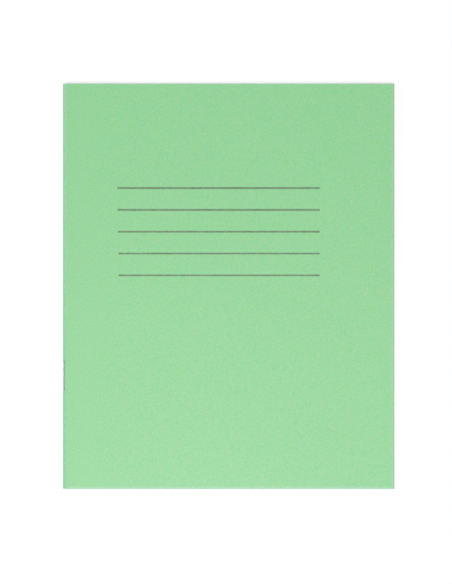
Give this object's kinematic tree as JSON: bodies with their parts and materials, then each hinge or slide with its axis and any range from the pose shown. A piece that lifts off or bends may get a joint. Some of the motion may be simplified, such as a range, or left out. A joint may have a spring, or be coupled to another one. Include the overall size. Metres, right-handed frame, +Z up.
{
  "type": "exercise book",
  "caption": "Closed stapled exercise book: folded green card cover with ruled lines on its front, nested plain paper sheets and wire staples through the spine; every leaf turns.",
  "frame": {"origin": "on the table, under the middle of the closed book lying on its back cover", "axes": "+X from the spine to the fore-edge, +Y from the tail to the head of the page, +Z up out of the front cover"},
  "size_m": [0.166, 0.203, 0.004],
  "materials": {
    "cover_card": "matte light green card",
    "paper": "matte white writing paper",
    "staple_wire": "bright galvanised wire"
  },
  "bodies": {
    "back_cover": {"back_cover": "cover_card"},
    "leaf_24": {"leaf_24": "paper"},
    "leaf_23": {"leaf_23": "paper"},
    "leaf_22": {"leaf_22": "paper"},
    "leaf_21": {"leaf_21": "paper"},
    "leaf_20": {"leaf_20": "paper"},
    "leaf_19": {"leaf_19": "paper"},
    "leaf_18": {"leaf_18": "paper"},
    "leaf_17": {"leaf_17": "paper"},
    "leaf_16": {"leaf_16": "paper"},
    "leaf_15": {"leaf_15": "paper"},
    "leaf_14": {"leaf_14": "paper"},
    "leaf_13": {"leaf_13": "paper"},
    "leaf_12": {"leaf_12": "paper"},
    "leaf_11": {"leaf_11": "paper"},
    "leaf_10": {"leaf_10": "paper"},
    "leaf_09": {"leaf_09": "paper"},
    "leaf_08": {"leaf_08": "paper"},
    "leaf_07": {"leaf_07": "paper"},
    "leaf_06": {"leaf_06": "paper"},
    "leaf_05": {"leaf_05": "paper"},
    "leaf_04": {"leaf_04": "paper"},
    "leaf_03": {"leaf_03": "paper"},
    "leaf_02": {"leaf_02": "paper"},
    "leaf_01": {"leaf_01": "paper"},
    "front_cover": {"front_cover": "cover_card"},
    "spine": {"cover_fold": "cover_card", "sheet_01_fold": "paper", "sheet_02_fold": "paper", "sheet_03_fold": "paper", "sheet_04_fold": "paper", "sheet_05_fold": "paper", "sheet_06_fold": "paper", "sheet_07_fold": "paper", "sheet_08_fold": "paper", "sheet_09_fold": "paper", "sheet_10_fold": "paper", "sheet_11_fold": "paper", "sheet_12_fold": "paper"},
    "lower_staple": {"staple_lower": "staple_wire"},
    "upper_staple": {"staple_upper": "staple_wire"}
  },
  "joints": [
    {"name": "back_cover_open", "type": "hinge", "parent": "back_cover", "child": "leaf_24", "pos_m": [-0.08099, 0, 0.00201], "axis": [0, -1, 0], "range_deg": [0, 180]},
    {"name": "leaf_23_turn", "type": "hinge", "parent": "leaf_24", "child": "leaf_23", "pos_m": [-0.08099, 0, 0.00201], "axis": [0, -1, 0], "range_deg": [0, 180]},
    {"name": "leaf_22_turn", "type": "hinge", "parent": "leaf_23", "child": "leaf_22", "pos_m": [-0.08099, 0, 0.00201], "axis": [0, -1, 0], "range_deg": [0, 180]},
    {"name": "leaf_21_turn", "type": "hinge", "parent": "leaf_22", "child": "leaf_21", "pos_m": [-0.08099, 0, 0.00201], "axis": [0, -1, 0], "range_deg": [0, 180]},
    {"name": "leaf_20_turn", "type": "hinge", "parent": "leaf_21", "child": "leaf_20", "pos_m": [-0.08099, 0, 0.00201], "axis": [0, -1, 0], "range_deg": [0, 180]},
    {"name": "leaf_19_turn", "type": "hinge", "parent": "leaf_20", "child": "leaf_19", "pos_m": [-0.08099, 0, 0.00201], "axis": [0, -1, 0], "range_deg": [0, 180]},
    {"name": "leaf_18_turn", "type": "hinge", "parent": "leaf_19", "child": "leaf_18", "pos_m": [-0.08099, 0, 0.00201], "axis": [0, -1, 0], "range_deg": [0, 180]},
    {"name": "leaf_17_turn", "type": "hinge", "parent": "leaf_18", "child": "leaf_17", "pos_m": [-0.08099, 0, 0.00201], "axis": [0, -1, 0], "range_deg": [0, 180]},
    {"name": "leaf_16_turn", "type": "hinge", "parent": "leaf_17", "child": "leaf_16", "pos_m": [-0.08099, 0, 0.00201], "axis": [0, -1, 0], "range_deg": [0, 180]},
    {"name": "leaf_15_turn", "type": "hinge", "parent": "leaf_16", "child": "leaf_15", "pos_m": [-0.08099, 0, 0.00201], "axis": [0, -1, 0], "range_deg": [0, 180]},
    {"name": "leaf_14_turn", "type": "hinge", "parent": "leaf_15", "child": "leaf_14", "pos_m": [-0.08099, 0, 0.00201], "axis": [0, -1, 0], "range_deg": [0, 180]},
    {"name": "leaf_13_turn", "type": "hinge", "parent": "leaf_14", "child": "leaf_13", "pos_m": [-0.08099, 0, 0.00201], "axis": [0, -1, 0], "range_deg": [0, 180]},
    {"name": "centre_open", "type": "hinge", "parent": "leaf_13", "child": "leaf_12", "pos_m": [-0.08099, 0, 0.00201], "axis": [0, -1, 0], "range_deg": [0, 180], "deforming": ["sheet_12_fold"]},
    {"name": "leaf_11_turn", "type": "hinge", "parent": "leaf_12", "child": "leaf_11", "pos_m": [-0.08099, 0, 0.00201], "axis": [0, -1, 0], "range_deg": [0, 180], "deforming": ["sheet_11_fold"]},
    {"name": "leaf_10_turn", "type": "hinge", "parent": "leaf_11", "child": "leaf_10", "pos_m": [-0.08099, 0, 0.00201], "axis": [0, -1, 0], "range_deg": [0, 180], "deforming": ["sheet_10_fold"]},
    {"name": "leaf_09_turn", "type": "hinge", "parent": "leaf_10", "child": "leaf_09", "pos_m": [-0.08099, 0, 0.00201], "axis": [0, -1, 0], "range_deg": [0, 180], "deforming": ["sheet_09_fold"]},
    {"name": "leaf_08_turn", "type": "hinge", "parent": "leaf_09", "child": "leaf_08", "pos_m": [-0.08099, 0, 0.00201], "axis": [0, -1, 0], "range_deg": [0, 180], "deforming": ["sheet_08_fold"]},
    {"name": "leaf_07_turn", "type": "hinge", "parent": "leaf_08", "child": "leaf_07", "pos_m": [-0.08099, 0, 0.00201], "axis": [0, -1, 0], "range_deg": [0, 180], "deforming": ["sheet_07_fold"]},
    {"name": "leaf_06_turn", "type": "hinge", "parent": "leaf_07", "child": "leaf_06", "pos_m": [-0.08099, 0, 0.00201], "axis": [0, -1, 0], "range_deg": [0, 180], "deforming": ["sheet_06_fold"]},
    {"name": "leaf_05_turn", "type": "hinge", "parent": "leaf_06", "child": "leaf_05", "pos_m": [-0.08099, 0, 0.00201], "axis": [0, -1, 0], "range_deg": [0, 180], "deforming": ["sheet_05_fold"]},
    {"name": "leaf_04_turn", "type": "hinge", "parent": "leaf_05", "child": "leaf_04", "pos_m": [-0.08099, 0, 0.00201], "axis": [0, -1, 0], "range_deg": [0, 180], "deforming": ["sheet_04_fold"]},
    {"name": "leaf_03_turn", "type": "hinge", "parent": "leaf_04", "child": "leaf_03", "pos_m": [-0.08099, 0, 0.00201], "axis": [0, -1, 0], "range_deg": [0, 180], "deforming": ["sheet_03_fold"]},
    {"name": "leaf_02_turn", "type": "hinge", "parent": "leaf_03", "child": "leaf_02", "pos_m": [-0.08099, 0, 0.00201], "axis": [0, -1, 0], "range_deg": [0, 180], "deforming": ["sheet_02_fold"]},
    {"name": "leaf_01_turn", "type": "hinge", "parent": "leaf_02", "child": "leaf_01", "pos_m": [-0.08099, 0, 0.00201], "axis": [0, -1, 0], "range_deg": [0, 180], "deforming": ["sheet_01_fold"]},
    {"name": "front_cover_open", "type": "hinge", "parent": "leaf_01", "child": "front_cover", "pos_m": [-0.08099, 0, 0.00201], "axis": [0, -1, 0], "range_deg": [0, 180], "deforming": ["cover_fold"]},
    {"name": "spine_follow", "type": "hinge", "parent": "leaf_13", "child": "spine", "pos_m": [-0.08099, 0, 0.00201], "axis": [0, -1, 0], "range_deg": [0, 90]},
    {"name": "lower_staple_follow", "type": "hinge", "parent": "front_cover", "child": "lower_staple", "pos_m": [-0.08099, 0, 0.00201], "axis": [0, -1, 0], "range_deg": [-45, 0]},
    {"name": "upper_staple_follow", "type": "hinge", "parent": "back_cover", "child": "upper_staple", "pos_m": [-0.08099, 0, 0.00201], "axis": [0, -1, 0], "range_deg": [0, 45]}
  ],
  "couplings": [
    {"joint": "spine_follow", "follows": "centre_open", "ratio": 0.5},
    {"joint": "lower_staple_follow", "follows": "centre_open", "ratio": -0.25},
    {"joint": "upper_staple_follow", "follows": "centre_open", "ratio": 0.25}
  ]
}
